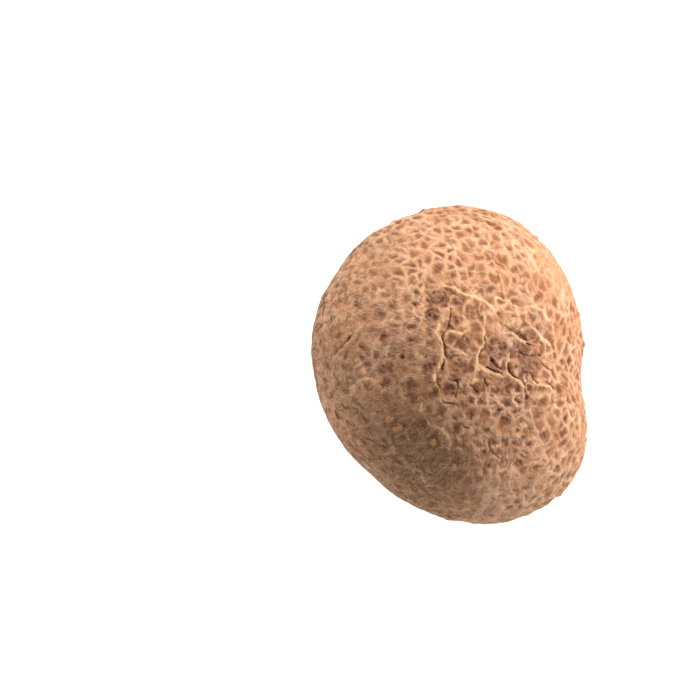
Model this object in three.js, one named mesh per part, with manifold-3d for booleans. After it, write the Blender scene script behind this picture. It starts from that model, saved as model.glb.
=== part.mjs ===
// A fresh shiitake mushroom, picked with its stem and laid down on a flat surface.
// It grew as one piece, so it is one solid: a domed cap whose skin is a raised net round sunken scales,
// with a few larger cracked plates at the crown; a margin that rolls under; radial gills; a short bent stem.
// It lies on two low lobes of the margin and on the edge of the cut stem.
// Millimetres, +Z up. z = 0 is the surface it lies on, and the origin is under the middle of the whole.
// The mushroom is drawn upright in its own frame first: z = 0 is the plane the margin hangs down to,
// and angle 0 points to the side that ends up lowest.

import * as THREE from "three";
import { ConvexHull } from "three/addons/math/ConvexHull.js";
import { mergeVertices } from "three/addons/utils/BufferGeometryUtils.js";
import Module from "manifold-3d";

// How the mushroom lies
const lean = THREE.MathUtils.degToRad(26); // of the cap's axis from upright
const heading = THREE.MathUtils.degToRad(-4); // of the low side, from +X
const rest = new THREE.Vector3(-0.46, -0.2, 12.85); // where its own frame's origin comes to lie

// Cap: its radius and the height of its margin every 30 degrees, from the low side
const capRadii = [30.5, 34.9, 37.4, 36, 34.4, 34, 35.1, 35.2, 33.6, 34.7, 36.6, 37.1];
const marginDrop = [0.9, -1.3, 0.3, 1.2, 0.6, 0, 0.5, 0.9, 0.3, 0.8, 0.9, 0.05];
const crownShift = new THREE.Vector2(-1.4, -2.6); // of the crown from the middle
const marginWavesFrom = 0.55; // share of the radius from where the margin's ups and downs are felt

// Meridian of the cap, as share of the radius and height: over the crown, round the rolled margin,
// and back to the axis inside the flesh, where the gills cover it
const meridian = [
  [0, 26.2], [0.17, 25.8], [0.36, 24.3], [0.54, 21.7], [0.7, 18], [0.84, 13.4], [0.94, 8.6], [0.99, 5.2],
  [1, 3.4], [0.985, 1.6], [0.955, 0.4], [0.92, 0], [0.885, 0.7], [0.87, 2.6], [0.868, 5.6],
  [0.83, 8.6], [0.7, 11.6], [0.5, 13.5], [0.26, 15.2], [0, 16],
];
const widest = 8; // index of the meridian's widest point
const buried = 14; // index of the point from which it runs inside the flesh
const meridianSteps = 1600;

// Skin of the cap. The net is drawn coarser and higher than life, so that it shows at arm's length.
const scaleArea = 19; // mm2 of skin to each sunken scale
const plateArea = 27; // mm2 to each cracked plate at the crown
const marginArea = 13; // mm2 to each facet of the margin
const fleshArea = 70; // mm2 to each facet of the part that the gills cover
const plateReach = 12.5; // along the skin from the crown to the last plate
const ridgeLift = 0.45;
const scaleSink = 0.25;
const plateLift = 0.45;
const crackDepth = 0.65;
const floorShare = 0.74; // of a scale or plate that is flat
const scatter = 0.2; // of the space between scales that each one strays
const unevenness = 0.35; // of the heights of the plates and scales
const reliefFrom = widest - 0.6; // place on the meridian where the net begins to fade, under the margin
const reliefTo = widest + 2.4; // and where it is gone
const leastRelief = 0.05; // under this a scale is drawn flat

// Gills: free edges and roots, as share of the radius and height
const gillPairs = 38; // each a full-length gill and a short one
const gillRows = [0.19, 0.31, 0.48, 0.65, 0.79, 0.91];
const gillEdges = [10.8, 8.9, 7.3, 5.5, 3.8, 2.6];
const gillRoots = [14.1, 13.3, 11.9, 9.8, 7.3, 4.6];
const shortGillFrom = 0.46; // share of the radius where the short gills begin
const shortGillTo = 0.68; // and where they are as deep as the long ones
const shortGillTip = 0.35; // of their thickness where they begin
const gillThickness = 0.64;
const gillCrowding = 0.56; // most of half a pair's width that a gill fills, near the stem
const gillUnevenness = 0.16; // of their depths
const gillWander = 0.012; // radians that they sway on their way outwards
const gillWaves = 4.3;
const gillPhase = 0.9; // radians from the sway of one pair to the next
const gillBedThickness = 3; // of the flesh above the roots that the gills are drawn with

// Stem: its centre line, and the radius along it
const stemLine = [[-1.2, -2.2, 17], [-1.6, -2, 8], [-3.8, -1.4, -2.5], [-7.8, -0.6, -13.6]];
const stemRadii = [8.6, 6.9, 5.9, 5.6, 5.7, 6.2];
const stemSides = 28;
const stemRings = 10;
const stemGrooves = 7;
const grooveDepth = 0.035; // as share of the radius
const grooveTwist = 1.6; // radians that the grooves wind to and fro
const twistRate = 2.1; // radians of that winding, from end to end
const stemLobes = 3; // broad ones, half as high as the grooves are deep
const lobeTwist = 4; // radians that they wind from end to end

const tableSize = 200; // of the block under z = 0 that takes a little off what it lies on
const tableDepth = 40;
const weld = 1e-4; // distance within which points are one

const seed = 41;
const goldenAngle = Math.PI * (3 - Math.sqrt(5));
const meanRadius = capRadii.reduce((sum, radius) => sum + radius) / capRadii.length;

const smooth = THREE.MathUtils.smoothstep;

// A repeatable random number from -0.5 to 0.5
function stray(...keys) {
  const mixed = keys.reduce((sum, key, i) => sum + key * (12.9898 + 65.4337 * i), seed);
  const wave = Math.sin(mixed) * 43758.5453;
  return wave - Math.floor(wave) - 0.5;
}

// Radius and margin height round the cap, one smooth closed curve through the given values
const outline = new THREE.CatmullRomCurve3(
  capRadii.map((radius, k) => new THREE.Vector3(radius, marginDrop[k], 0)),
  true,
  "catmullrom",
);

// Point at a share of the radius, a height and an angle. The margin's ups and downs fade towards the crown.
function capPoint(share, height, angle, lift = 0, slope = new THREE.Vector2()) {
  const turn = (angle / (2 * Math.PI)) % 1;
  const { x: radius, y: drop } = outline.getPoint(turn < 0 ? turn + 1 : turn);
  const inward = 1 - share * share;
  const reach = share * radius + slope.x * lift;
  return new THREE.Vector3(
    reach * Math.cos(angle) + crownShift.x * inward,
    reach * Math.sin(angle) + crownShift.y * inward,
    height + drop * smooth(share, marginWavesFrom, 1) + slope.y * lift,
  );
}

// Area of skin to each scale, plate or plain facet at one place of the meridian
function cellArea(knot, along) {
  if (knot > buried) return fleshArea;
  if (along < plateReach) return plateArea;
  return knot > widest - 1 ? marginArea : scaleArea;
}

// The meridian walked in short steps, with the number of scales and the Mercator latitude summed on the way
function walkMeridian() {
  const curve = new THREE.SplineCurve(meridian.map(([share, height]) => new THREE.Vector2(share, height)));
  const points = curve.getPoints(meridianSteps);
  const knots = meridian.length - 1;
  const stations = [];
  let along = 0;
  let cells = 0;
  let latitude = 0;
  for (let i = 1; i <= meridianSteps; i++) {
    const [a, b] = [points[i - 1], points[i]];
    const share = (a.x + b.x) / 2;
    const height = (a.y + b.y) / 2;
    const knot = ((i - 0.5) / meridianSteps) * knots;
    const step = Math.hypot((b.x - a.x) * meanRadius, b.y - a.y);
    const radius = share * meanRadius;
    cells += (2 * Math.PI * radius * step) / cellArea(knot, along);
    along += step;
    latitude += step / radius;
    const slope = new THREE.Vector2(a.y - b.y, (b.x - a.x) * meanRadius).normalize();
    const relief = 1 - smooth(knot, reliefFrom, reliefTo);
    stations.push({ share, height, along, cells, latitude, knot, slope, relief });
  }
  const equator = stations.find((station) => station.knot > widest).latitude;
  stations.forEach((station) => (station.latitude -= equator));
  return stations;
}

// One site for each scale, set out on a spiral at the golden angle and strayed a little
function scaleSites(stations) {
  const count = Math.floor(stations.at(-1).cells);
  const sites = [];
  let at = 0;
  for (let i = 0; i < count; i++) {
    const wanted = i + 0.5 + 2 * scatter * Math.sqrt(i) * stray(i, 1);
    while (at > 0 && stations[at].cells > wanted) at--;
    while (at < stations.length - 1 && stations[at].cells < wanted) at++;
    const { share, height, along, latitude, slope, relief } = stations[at];
    const between = Math.sqrt(scaleArea) / Math.max(share * capRadii[0], 1);
    const angle = i * goldenAngle + 2 * scatter * between * stray(i, 2);
    const polar = 2 * Math.atan(Math.exp(latitude));
    const level = Math.sin(polar);
    const onSphere = new THREE.Vector3(level * Math.cos(angle), level * Math.sin(angle), Math.cos(polar));
    const onSkin = capPoint(share, height, angle);
    const outwards = capPoint(share, height, angle, 1, slope).sub(onSkin).normalize();
    const isPlate = along < plateReach;
    const floor = (isPlate ? plateLift : -scaleSink) * relief * (1 + 2 * unevenness * stray(i, 3));
    const crest = (isPlate ? -crackDepth : ridgeLift) * relief;
    onSphere.site = { onSkin, outwards, floor, crest, isFlat: relief < leastRelief };
    sites.push(onSphere);
  }
  return sites;
}

// Closed skin of the cap. Each site is the middle of a scale with a flat sunken floor, and the corners
// between scales are raised, so that their sides meet in the ridges of the net. A plate is a scale turned
// about: it stands up, and its sides go down into cracks.
function capSkin() {
  const hull = new ConvexHull().setFromPoints(scaleSites(walkMeridian()));
  const corners = new Map();
  const spokes = new Map();
  for (const face of hull.faces) {
    const edges = [face.edge, face.edge.next, face.edge.prev];
    const around = edges.map((edge) => edge.tail().point.site);
    const foot = new THREE.Vector3();
    const outwards = new THREE.Vector3();
    for (const site of around) {
      foot.addScaledVector(site.onSkin, 1 / 3);
      outwards.addScaledVector(site.outwards, site.crest / 3);
    }
    corners.set(face, { foot, crest: foot.clone().add(outwards) });
    edges.forEach((edge, k) => spokes.set(around[k], edge));
  }
  const triangles = [];
  for (const [site, firstSpoke] of spokes) {
    const ring = [];
    let spoke = firstSpoke;
    do {
      ring.push(corners.get(spoke.face));
      spoke = spoke.prev.twin;
    } while (spoke !== firstSpoke);
    const inner = ring.map(({ foot }) => {
      if (site.isFlat) return site.onSkin;
      return site.onSkin.clone().lerp(foot, floorShare).addScaledVector(site.outwards, site.floor);
    });
    for (let k = 0; k < ring.length; k++) {
      const next = (k + 1) % ring.length;
      triangles.push(inner[k], ring[k].crest, ring[next].crest);
      if (!site.isFlat) triangles.push(inner[k], ring[next].crest, inner[next]);
      if (!site.isFlat && k > 0 && next > 0) triangles.push(inner[0], inner[k], inner[next]);
    }
  }
  return new THREE.BufferGeometry().setFromPoints(triangles);
}

// Closed geometry through rows of points, each row a ring, with a fan over the first ring and the last
function closedSkin(rows) {
  const sides = rows[0].length;
  const [top, bottom] = [rows[0], rows.at(-1)].map((row) =>
    row.reduce((sum, point) => sum.add(point), new THREE.Vector3()).divideScalar(sides),
  );
  const triangles = [];
  for (let k = 0; k < sides; k++) {
    const next = (k + 1) % sides;
    triangles.push(top, rows[0][k], rows[0][next]);
    triangles.push(bottom, rows.at(-1)[next], rows.at(-1)[k]);
    for (let j = 1; j < rows.length; j++) {
      const [upper, lower] = [rows[j - 1], rows[j]];
      triangles.push(upper[k], lower[k], lower[next]);
      triangles.push(upper[k], lower[next], upper[next]);
    }
  }
  return new THREE.BufferGeometry().setFromPoints(triangles);
}

// Gills with the bed of flesh that they hang from. Each pair has a full-length gill and a short one,
// with a valley on each side, and its ridges are as wide near the stem as at the margin.
function gillBed() {
  const halfPair = Math.PI / gillPairs;
  const columns = [];
  for (let pair = 0; pair < gillPairs; pair++) {
    for (const [isShort, side] of [[false, -1], [false, 1], [false, 0], [true, -1], [true, 1], [true, 0]]) {
      columns.push({ pair, isShort, side });
    }
  }
  const edgeRow = (share, j) =>
    columns.map(({ pair, isShort, side }) => {
      const grownShort = smooth(share, shortGillFrom, shortGillTo);
      const halfLong = Math.min(gillThickness / 2 / (share * meanRadius), halfPair * gillCrowding);
      const halfShort = halfLong * (shortGillTip + (1 - shortGillTip) * grownShort);
      const start = 2 * pair * halfPair + (isShort ? halfPair : 0);
      const isValley = side === 0;
      const valley = (halfPair + (isShort ? halfShort - halfLong : halfLong - halfShort)) / 2;
      const offset = isValley ? valley : side * (isShort ? halfShort : halfLong);
      const wander = gillWander * Math.sin(gillWaves * share + gillPhase * pair);
      const fullDepth = (gillRoots[j] - gillEdges[j]) * (isShort ? grownShort : 1);
      const depth = isValley ? 0 : fullDepth * (1 + gillUnevenness * stray(pair, isShort ? 3 : 4));
      return capPoint(share, gillRoots[j] - depth, start + offset + wander);
    });
  const bedRow = (share, j) =>
    columns.map(({ pair, isShort, side }) => {
      const place = (isShort ? 3 : 0) + (side === 0 ? 2.5 : 1 + side);
      return capPoint(share, gillRoots[j] + gillBedThickness, (2 * pair + place / 3) * halfPair);
    });
  const below = gillRows.map(edgeRow);
  const above = gillRows.map(bedRow).reverse();
  return closedSkin([...below, ...above].reverse());
}

// Tough stem, lightly grooved lengthways and bent away from the low side, with a flat cut end
function stem() {
  const line = new THREE.CatmullRomCurve3(stemLine.map((point) => new THREE.Vector3(...point)));
  const girth = new THREE.SplineCurve(stemRadii.map((radius, k) => new THREE.Vector2(k, radius)));
  const rows = [];
  for (let j = 0; j < stemRings; j++) {
    const t = j / (stemRings - 1);
    const centre = line.getPoint(t);
    const down = line.getTangent(t);
    const across = down.clone().cross(new THREE.Vector3(0, 1, 0)).normalize();
    const beside = across.clone().cross(down);
    const row = [];
    for (let k = 0; k < stemSides; k++) {
      const angle = (2 * Math.PI * k) / stemSides;
      const grooves = Math.sin(stemGrooves * angle + grooveTwist * Math.sin(twistRate * t));
      const lobes = Math.sin(stemLobes * angle + lobeTwist * t) / 2;
      const radius = girth.getPoint(t).y * (1 + grooveDepth * (grooves + lobes));
      row.push(
        centre
          .clone()
          .addScaledVector(across, radius * Math.cos(angle))
          .addScaledVector(beside, radius * Math.sin(angle)),
      );
    }
    rows.push(row);
  }
  return closedSkin(rows);
}

const wasm = await Module();
wasm.setup();

function solidOf(geometry) {
  const merged = mergeVertices(geometry, weld);
  return new wasm.Manifold(
    new wasm.Mesh({
      numProp: 3,
      vertProperties: merged.attributes.position.array,
      triVerts: new Uint32Array(merged.index.array),
    }),
  );
}

function geometryOf(solid) {
  const { numProp, numVert, vertProperties, triVerts } = solid.getMesh();
  const positions = new Float32Array(numVert * 3);
  for (let i = 0; i < numVert; i++) {
    positions.set(vertProperties.subarray(i * numProp, i * numProp + 3), i * 3);
  }
  const geometry = new THREE.BufferGeometry();
  geometry.setAttribute("position", new THREE.BufferAttribute(positions, 3));
  geometry.setIndex(new THREE.BufferAttribute(new Uint32Array(triVerts), 1));
  geometry.computeVertexNormals();
  return geometry;
}

// The three parts of its growth fused into one body and laid down, with a little taken off where it rests
function mushroomBody() {
  const pose = new THREE.Matrix4()
    .makeTranslation(rest)
    .multiply(new THREE.Matrix4().makeRotationZ(heading))
    .multiply(new THREE.Matrix4().makeRotationY(lean));
  const laid = [capSkin(), gillBed(), stem()].map((geometry) => solidOf(geometry.applyMatrix4(pose)));
  const table = new THREE.BoxGeometry(tableSize, tableSize, tableDepth).translate(0, 0, -tableDepth / 2);
  table.deleteAttribute("normal");
  table.deleteAttribute("uv");
  const [cap, gills, stalk] = laid;
  return geometryOf(cap.add(gills).add(stalk).subtract(solidOf(table)));
}

const shiitake = new THREE.Mesh(
  mushroomBody(),
  new THREE.MeshStandardMaterial({ color: 0xb98560, roughness: 0.85, metalness: 0, flatShading: true }),
);
shiitake.name = "shiitake_mushroom";

const mushroom = new THREE.Group();
mushroom.add(shiitake);

export default mushroom;
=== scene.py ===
# A fresh shiitake mushroom, lying on a pale table and seen from nearly above.
import math
from itertools import product

import bpy
import numpy as np
from mathutils import Matrix, Vector, kdtree


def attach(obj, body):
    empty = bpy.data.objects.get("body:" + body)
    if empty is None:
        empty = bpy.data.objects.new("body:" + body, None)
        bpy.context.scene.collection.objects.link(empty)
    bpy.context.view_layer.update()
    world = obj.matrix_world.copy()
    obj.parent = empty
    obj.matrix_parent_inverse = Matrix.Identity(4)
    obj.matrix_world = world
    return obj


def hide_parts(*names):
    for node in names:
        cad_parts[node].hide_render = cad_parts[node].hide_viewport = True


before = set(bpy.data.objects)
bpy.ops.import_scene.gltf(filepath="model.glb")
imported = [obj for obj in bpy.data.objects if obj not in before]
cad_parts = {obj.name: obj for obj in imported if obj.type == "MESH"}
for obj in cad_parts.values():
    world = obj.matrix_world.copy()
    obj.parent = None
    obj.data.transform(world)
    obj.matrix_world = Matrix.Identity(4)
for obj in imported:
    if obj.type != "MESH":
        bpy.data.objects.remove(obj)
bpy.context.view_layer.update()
mm = 0.001
print("stage: frame loaded")


# --- helpers

def deselectAll():
    if bpy.context.mode != "OBJECT":
        bpy.ops.object.mode_set(mode="OBJECT")
    bpy.ops.object.select_all(action="DESELECT")


def applyModifier(piece, kind, **settings):
    bpy.context.view_layer.objects.active = piece
    modifier = piece.modifiers.new(kind.lower(), kind)
    for name, value in settings.items():
        setattr(modifier, name, value)
    bpy.ops.object.modifier_apply(modifier=modifier.name)


def readPoints(mesh):  # as an array of vertices by x, y, z
    points = np.empty(len(mesh.vertices) * 3)
    mesh.vertices.foreach_get("co", points)
    return points.reshape(-1, 3)


def writePoints(mesh, points):
    mesh.vertices.foreach_set("co", np.ascontiguousarray(points, float).ravel())
    mesh.update()


def readNormals(mesh):
    normals = np.empty(len(mesh.vertices) * 3)
    mesh.vertices.foreach_get("normal", normals)
    return normals.reshape(-1, 3)


def writeAttribute(mesh, name, columns):  # three numbers on each vertex, for the material to read
    layer = mesh.attributes.new(name, "FLOAT_VECTOR", "POINT")
    layer.data.foreach_set("vector", np.stack(columns, 1).astype(np.float32).ravel())


def smoothStep(values, low, high):
    part = np.clip((values - low) / (high - low), 0, 1)
    return part * part * (3 - 2 * part)


def bump(distance, width):
    return np.exp(-((distance / width) ** 2))


def roughField(points, size, seed):  # smooth random heights from -1 to 1, with lumps of about that size
    scaled = points / size
    cells = np.floor(scaled).astype(np.int64)
    part = scaled - cells
    part = part * part * (3 - 2 * part)
    primes = np.array([73856093, 19349663, 83492791])[: points.shape[1]]
    total = np.zeros(len(points))
    for corner in product((0, 1), repeat=points.shape[1]):
        mixed = ((cells + corner) * primes).sum(1) + seed * 2654435761
        mixed = (mixed ^ (mixed >> 13)) * 1274126177
        mixed = (mixed ^ (mixed >> 16)) & 0xFFFF
        weight = np.where(corner, part, 1 - part).prod(1)
        total += weight * (mixed / 32767.5 - 1)
    return total


def catmullRom(values, at, closed=False):  # curve through the values, read at shares of its length from 0 to 1
    values = np.asarray(values, float)
    count = len(values)
    place = np.mod(at, 1) * count if closed else np.clip(at, 0, 1) * (count - 1)
    start = np.floor(place).astype(int) if closed else np.minimum(np.floor(place).astype(int), count - 2)
    part = (place - start)[:, None]
    pick = (lambda i: values[i % count]) if closed else (lambda i: values[np.clip(i, 0, count - 1)])
    before, first, second, after = (pick(start + i) for i in (-1, 0, 1, 2))
    leave, arrive = (second - before) / 2, (after - first) / 2
    cubic = 2 * first - 2 * second + leave + arrive
    square = -3 * first + 3 * second - 2 * leave - arrive
    return ((cubic * part + square) * part + leave) * part + first


# --- how the mushroom lies, and its main form, in millimetres as in the part

pose = {
    "lean": 26,  # degrees of the cap's axis from upright
    "heading": -4,  # degrees from +X to the side that lies lowest
    "rest": (-0.46, -0.2, 12.85),  # where its own frame's origin comes to lie
}
toWorld = (
    Matrix.Translation(pose["rest"])
    @ Matrix.Rotation(math.radians(pose["heading"]), 4, "Z")
    @ Matrix.Rotation(math.radians(pose["lean"]), 4, "Y")
)


def placed(points):  # from the mushroom's own frame in millimetres to the world in metres, never under the table
    turned = points @ np.array(toWorld.to_3x3()).T + np.array(toWorld.translation)
    turned[:, 2] = np.maximum(turned[:, 2], 0.01)
    return turned * mm


capForm = {
    "radii": [30.5, 34.9, 37.4, 36, 34.4, 34, 35.1, 35.2, 33.6, 34.7, 36.6, 37.1],  # every 30 degrees, low side first
    "drops": [0.9, -1.3, 0.3, 1.2, 0.6, 0, 0.5, 0.9, 0.3, 0.8, 0.9, 0.05],  # of the margin, the same way
    "crownShift": (-1.4, -2.6),
    # share of the radius and height: over the crown, round the margin, and back over the flesh between gills
    "meridian": [
        (0, 26.2), (0.17, 25.8), (0.36, 24.3), (0.54, 21.7), (0.7, 18), (0.84, 13.4), (0.94, 8.6), (0.99, 5.2),
        (1, 3.4), (0.985, 1.6), (0.955, 0.4), (0.92, 0), (0.885, 0.7), (0.87, 2.6), (0.86, 5.2),
        (0.79, 7.3), (0.65, 9.8), (0.48, 11.9), (0.31, 13.3), (0.15, 14.2), (0, 14.4),
    ],
    "widest": 8,  # number of the meridian's widest point
    "lipFoot": 12,  # number of the point where its inner side begins
}


def capOutline(angle):
    ring = catmullRom(np.stack([capForm["radii"], capForm["drops"]], 1), angle / (2 * math.pi), closed=True)
    return ring[:, 0], ring[:, 1]


def capPoint(share, height, angle):
    radius, drop = capOutline(angle)
    shiftX, shiftY = capForm["crownShift"]
    inward = 1 - share**2
    return np.stack([
        share * radius * np.cos(angle) + shiftX * inward,
        share * radius * np.sin(angle) + shiftY * inward,
        height + drop * smoothStep(share, 0.55, 1),
    ], 1)


# --- camera, light and table

view = {
    "elevation": 75,  # degrees above the horizon
    "lens": 90,
    "sensor": 36,
    "pixels": 700,
    "pixelsPerMm": 4.64,  # at the middle of the cap
    "middle": (0, 0, 13),  # the point of the cap's axis that the photograph shows at this pixel
    "middlePixel": (479, 354.5),
}
tilt = math.radians(view["elevation"])
cameraRight = Vector((1, 0, 0))
cameraUp = Vector((0, math.sin(tilt), math.cos(tilt)))
cameraBack = cameraRight.cross(cameraUp)
focalPixels = view["lens"] / view["sensor"] * view["pixels"]
offMiddle = [(pixel - view["pixels"] / 2) / view["pixelsPerMm"] for pixel in view["middlePixel"]]
cameraPlace = (
    toWorld @ Vector(view["middle"])
    - offMiddle[0] * cameraRight
    + offMiddle[1] * cameraUp
    + focalPixels / view["pixelsPerMm"] * cameraBack
)


def pixelsOf(points):  # where the photograph shows points of the world
    away = points / mm - np.array(cameraPlace)
    depth = -(away @ np.array(cameraBack))
    across = view["pixels"] / 2 + focalPixels * (away @ np.array(cameraRight)) / depth
    down = view["pixels"] / 2 - focalPixels * (away @ np.array(cameraUp)) / depth
    return np.stack([across, down], 1)


camera = bpy.data.objects.new("camera", bpy.data.cameras.new("camera"))
camera.data.lens = view["lens"]
camera.data.sensor_width = view["sensor"]
camera.data.clip_start = 0.01
camera.matrix_world = Matrix.Translation(cameraPlace * mm) @ Matrix(
    (cameraRight, cameraUp, cameraBack)
).transposed().to_4x4()
bpy.context.scene.collection.objects.link(camera)
bpy.context.scene.camera = camera
bpy.context.scene.view_settings.view_transform = "Standard"

light = {
    "key": {"at": (0.42, 0.34, 0.36), "size": 0.30, "watts": 7.3, "colour": "FFF2E4"},
    "left": {"at": (-0.50, 0.12, 0.08), "size": 0.18, "watts": 2.4, "colour": "FFFAF2"},
    "front": {"at": (0.10, -0.52, 0.12), "size": 0.24, "watts": 1.1, "colour": "FFFAF2"},
    "worldColour": "FFFFFF",
    "worldStrength": 0.1,
    "tableColour": "A4A4A2",
    "tableGlow": 0.95,  # the table is a lit pane of milk glass
}


def hexToLinear(code):
    channels = [int(code[i : i + 2], 16) / 255 for i in (0, 2, 4)]
    return tuple(c / 12.92 if c <= 0.04045 else ((c + 0.055) / 1.055) ** 2.4 for c in channels) + (1,)


def addNode(tree, kind, links=None, settings=None, values=None):
    node = tree.nodes.new("ShaderNode" + kind)
    for name, value in (settings or {}).items():
        setattr(node, name, value)
    for name, value in (values or {}).items():
        node.inputs[name].default_value = hexToLinear(value) if isinstance(value, str) else value
    for name, source in (links or {}).items():
        tree.links.new(source, node.inputs[name])
    return node


def newMaterial(name):
    material = bpy.data.materials.new(name)
    material.use_nodes = True
    material.node_tree.nodes.clear()
    return material, material.node_tree


def addAreaLight(name, facts):
    lamp = bpy.data.objects.new(name, bpy.data.lights.new(name, "AREA"))
    lamp.data.shape = "DISK"
    lamp.data.size = facts["size"]
    lamp.data.energy = facts["watts"]
    lamp.data.color = hexToLinear(facts["colour"])[:3]
    lamp.location = facts["at"]
    lamp.rotation_euler = Vector(facts["at"]).to_track_quat("Z", "Y").to_euler()
    bpy.context.scene.collection.objects.link(lamp)


for name in ("key", "left", "front"):
    addAreaLight(name + "Light", light[name])
world = bpy.data.worlds.new("studio")
world.use_nodes = True
world.node_tree.nodes["Background"].inputs["Color"].default_value = hexToLinear(light["worldColour"])
world.node_tree.nodes["Background"].inputs["Strength"].default_value = light["worldStrength"]
bpy.context.scene.world = world

deselectAll()
bpy.ops.mesh.primitive_plane_add(size=3)
table = bpy.context.object
table.name = "table"
tableGlass, tree = newMaterial("milkGlassTable")
shader = addNode(tree, "BsdfPrincipled", values={
    "Base Color": light["tableColour"], "Roughness": 0.9, "Specular IOR Level": 0.1,
    "Emission Color": "FFFFFF", "Emission Strength": light["tableGlow"],
})
addNode(tree, "OutputMaterial", {"Surface": shader.outputs[0]})
table.data.materials.append(tableGlass)
print("stage: camera, light and table")


# --- cap: a ball of even squares drawn over the meridian, then worked with the skin's relief

capMesh = {
    "cuts": (1, 63),  # of each side of the cube that the ball starts as, so 128 squares along it
    "finerOutside": 0.85,  # how far the squares crowd to the outside, where the relief is
}
# Nets of ridges round sunken scales: mm2 to each, how far each strays, and a seed for its draws
nets = {
    "scales": (7.6, 0.42, 11),
    "fine": (1.3, 0.45, 12),  # smaller scales that crowd the crown
    "veins": (36, 0.5, 13),  # the few stronger lines round whole groups of scales
}
skinNet = {
    "wobbles": [(2.6, 0.6), (1.0, 0.34), (0.5, 0.1)],  # mm of size and of reach by which the net's lines wander
    "ridgeWidth": 0.56,
    "ridgeHeight": 0.12,
    "pitDepth": 0.28,
    "scaleRadius": 1.85,  # mm, beyond which even a big scale has risen to its edge
    "spotRadius": (0.5, 1.2),  # mm, of the darkest middle of a scale
    "grain": (0.62, 0.075),  # mm of size and height of the grains that roughen the torn plates
    "plainSide": 0.6,  # how much of the net is left on the smoother side of the cap
}
skinLumps = {"wide": (9.0, 0.4), "middle": (3.4, 0.24), "small": (1.2, 0.12)}  # size and height in mm

# Cracks of the torn crown, by the photograph's pixels, each with its width in pixels; their dark colour is painted
# shadow in the crevices
tears = {
    "leftSplit": (1.0, [(450, 309), (450.5, 315), (449.5, 321), (448, 327), (445.5, 331), (442.5, 335), (442, 338),
                        (443.5, 342), (444.3, 349), (445.5, 354), (447, 358.5)]),
    "leftFoot": (0.9, [(443.5, 359), (444, 363), (442.5, 368), (443, 370)]),
    "leftEnd": (0.8, [(437.5, 373), (437, 378), (437.5, 384), (441, 388)]),
    "topNick": (0.8, [(454, 283), (457.5, 288)]),
    "upperNick": (0.7, [(443, 297), (441, 299.5), (439, 302)]),
    "innerStep": (0.8, [(481.5, 316), (482, 324)]),
    "deepSplit": (1.5, [(501, 322), (504, 324), (509, 327), (514, 328), (519, 331), (521, 335), (524, 338), (530, 340)]),
    # painted shadow cast by the raised plate's edge over the split below it
    "deepShade": (2.2, [(511, 328), (517, 330.5), (521, 335.5), (526, 338)]),
    "rightSplit": (1.0, [(527, 342), (531, 344), (535.5, 346.5)]),
    "rightEnd": (0.8, [(540, 342), (543, 344.5)]),
    "midSplit": (0.9, [(521, 352), (525, 354), (530, 356), (535, 355.5), (538, 354), (542, 356)]),
    "farSplit": (0.8, [(539, 359), (542, 362), (546, 367), (551, 370)]),
    "innerSplit": (1.3, [(485, 338), (485.5, 343), (484.5, 348), (481, 351.5), (479.8, 356)]),
    "blackSplit": (1.3, [(491, 357.5), (493, 361), (496, 365), (501, 368.5)]),
    "lipSplit": (0.9, [(487, 367), (495, 371), (502, 373.5)]),
    "lowSplit": (1.4, [(509, 364), (510, 369), (511, 373), (514, 376), (518, 378), (522, 380), (525, 386)]),
    "lowBranch": (1.0, [(523, 372), (530, 372), (533, 375), (535, 380), (538, 383)]),
    "outerSplit": (1.2, [(546, 381), (550, 384), (554, 388)]),
    "outerFoot": (1.3, [(552, 395), (553, 403)]),
    "lowFoot": (0.9, [(524, 388), (524, 393), (528, 399)]),
    "footSplit": (1.1, [(442, 400), (444, 402.5), (449, 403), (456, 404.5), (459, 408)]),
    "shortSplit": (1.1, [(448, 379), (452, 381), (457, 381), (458, 386), (457, 391), (455, 397)]),
    "smallSplit": (0.9, [(435, 382), (440, 388)]),
    "darkNick": (1.0, [(484, 378), (485, 382), (487.5, 386)]),
    "darkDot": (1.0, [(474, 389), (477, 392.5)]),
    "flankSplit": (1.0, [(488.5, 440), (490, 447), (493, 453), (498, 458)]),
    "lowNick": (0.8, [(461, 424), (465, 427.5), (469, 429)]),
    "marginCrease": (1.4, [(350, 336), (346, 342), (342, 347), (333.5, 355)]),
}
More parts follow.
